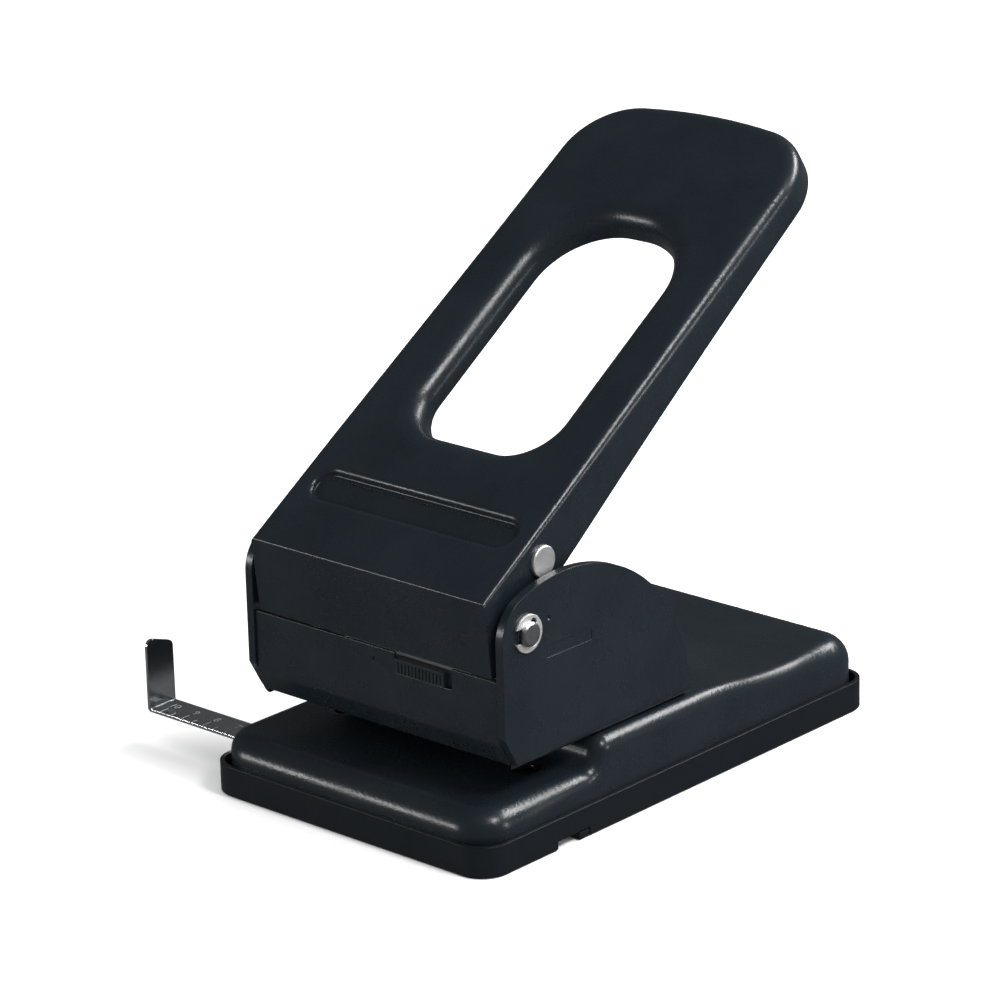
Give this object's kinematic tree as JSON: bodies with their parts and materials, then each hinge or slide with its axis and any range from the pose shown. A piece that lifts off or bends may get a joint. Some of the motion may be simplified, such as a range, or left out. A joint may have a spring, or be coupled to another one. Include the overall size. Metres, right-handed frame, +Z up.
{
  "type": "hole punch",
  "caption": "Heavy-duty desk paper hole punch with long pressed-steel lever, U-shaped steel head, black base tray and sliding side paper guide.",
  "frame": {"origin": "middle of the base tray's underside, on the surface the punch stands on", "axes": "+X to the right seen from the front, +Y from the paper side towards the end of the lever, +Z up"},
  "size_m": [0.1672, 0.1956, 0.1984],
  "materials": {
    "shell_paint": "semi-gloss black stoving enamel, slight orange peel",
    "chassis_paint": "semi-gloss black stoving enamel",
    "cover_paint": "semi-gloss black stoving enamel",
    "lever_paint": "semi-gloss black stoving enamel",
    "tray_plastic": "satin black moulded plastic",
    "flap_plastic": "satin black moulded plastic",
    "track_plastic": "dark moulded plastic",
    "slide_plastic": "black metal slide, ribbed, edge worn bright",
    "washer_plastic": "black nylon",
    "rubber": "dark rubber pads",
    "raw_steel": "plain steel",
    "bridge_zinc": "zinc-plated sheet",
    "zinc_screws": "zinc-plated",
    "zinc_rivets": "zinc-plated",
    "bar_steel": "bright steel bar, peened ends",
    "axle_steel": "bright steel",
    "clip_steel": "bright plated spring steel",
    "ruler_steel": "bright nickel-plated strip with engraved scale",
    "spring_steel": "spring wire",
    "die_steel": "ground hardened steel",
    "punch_steel": "ground hardened steel",
    "cap_steel": "zinc-plated",
    "bushing_brass": "turned brass"
  },
  "bodies": {
    "base": {"base_shell": "shell_paint", "base_tray": "tray_plastic", "shell_posts": "raw_steel", "tray_screws": "zinc_screws", "rubber_feet": "rubber", "flap_hinge_pin": "raw_steel", "die_plate": "raw_steel", "chassis": "chassis_paint", "chassis_rivets": "zinc_rivets", "front_cover": "cover_paint", "lock_rail": "raw_steel", "guide_bridge": "bridge_zinc", "pivot_axle": "axle_steel", "ruler_track": "track_plastic", "ruler_detent": "spring_steel", "die_left": "die_steel", "bushing_left": "bushing_brass", "punch_spring_left": "spring_steel", "pivot_clip_left": "clip_steel", "pivot_washer_left": "washer_plastic", "die_right": "die_steel", "bushing_right": "bushing_brass", "punch_spring_right": "spring_steel", "pivot_clip_right": "clip_steel", "pivot_washer_right": "washer_plastic"},
    "lever": {"lever": "lever_paint", "press_bar": "bar_steel"},
    "punch_left": {"punch_left": "punch_steel", "punch_cap_left": "cap_steel"},
    "punch_right": {"punch_right": "punch_steel", "punch_cap_right": "cap_steel"},
    "ruler": {"ruler": "ruler_steel"},
    "lock_slide": {"lock_slide": "slide_plastic"},
    "chip_flap": {"chip_flap": "flap_plastic"}
  },
  "joints": [
    {"name": "lever_hinge", "type": "hinge", "parent": "base", "child": "lever", "pos_m": [0, -0.0705, 0.074], "axis": [-1, 0, 0], "range_deg": [0, 38], "stiffness_Nm_per_rad": 1.6, "springref_deg": -20.05},
    {"name": "punch_left_slide", "type": "slide", "parent": "base", "child": "punch_left", "axis": [0, 0, -1], "range_m": [0, 0.01258], "deforming": ["punch_spring_left"]},
    {"name": "punch_right_slide", "type": "slide", "parent": "base", "child": "punch_right", "axis": [0, 0, -1], "range_m": [0, 0.01258], "deforming": ["punch_spring_right"]},
    {"name": "ruler_slide", "type": "slide", "parent": "base", "child": "ruler", "axis": [-1, 0, 0], "range_m": [-0.042, 0.0435]},
    {"name": "lock_slide_travel", "type": "slide", "parent": "base", "child": "lock_slide", "axis": [1, 0, 0], "range_m": [0, 0.0027]},
    {"name": "chip_flap_hinge", "type": "hinge", "parent": "base", "child": "chip_flap", "pos_m": [-0.0507, -0.055, 0.0019], "axis": [0, 1, 0], "range_deg": [0, 85]}
  ],
  "couplings": [
    {"joint": "punch_left_slide", "follows": "lever_hinge", "m_per_rad": 0.018668},
    {"joint": "punch_right_slide", "follows": "lever_hinge", "m_per_rad": 0.018668}
  ]
}
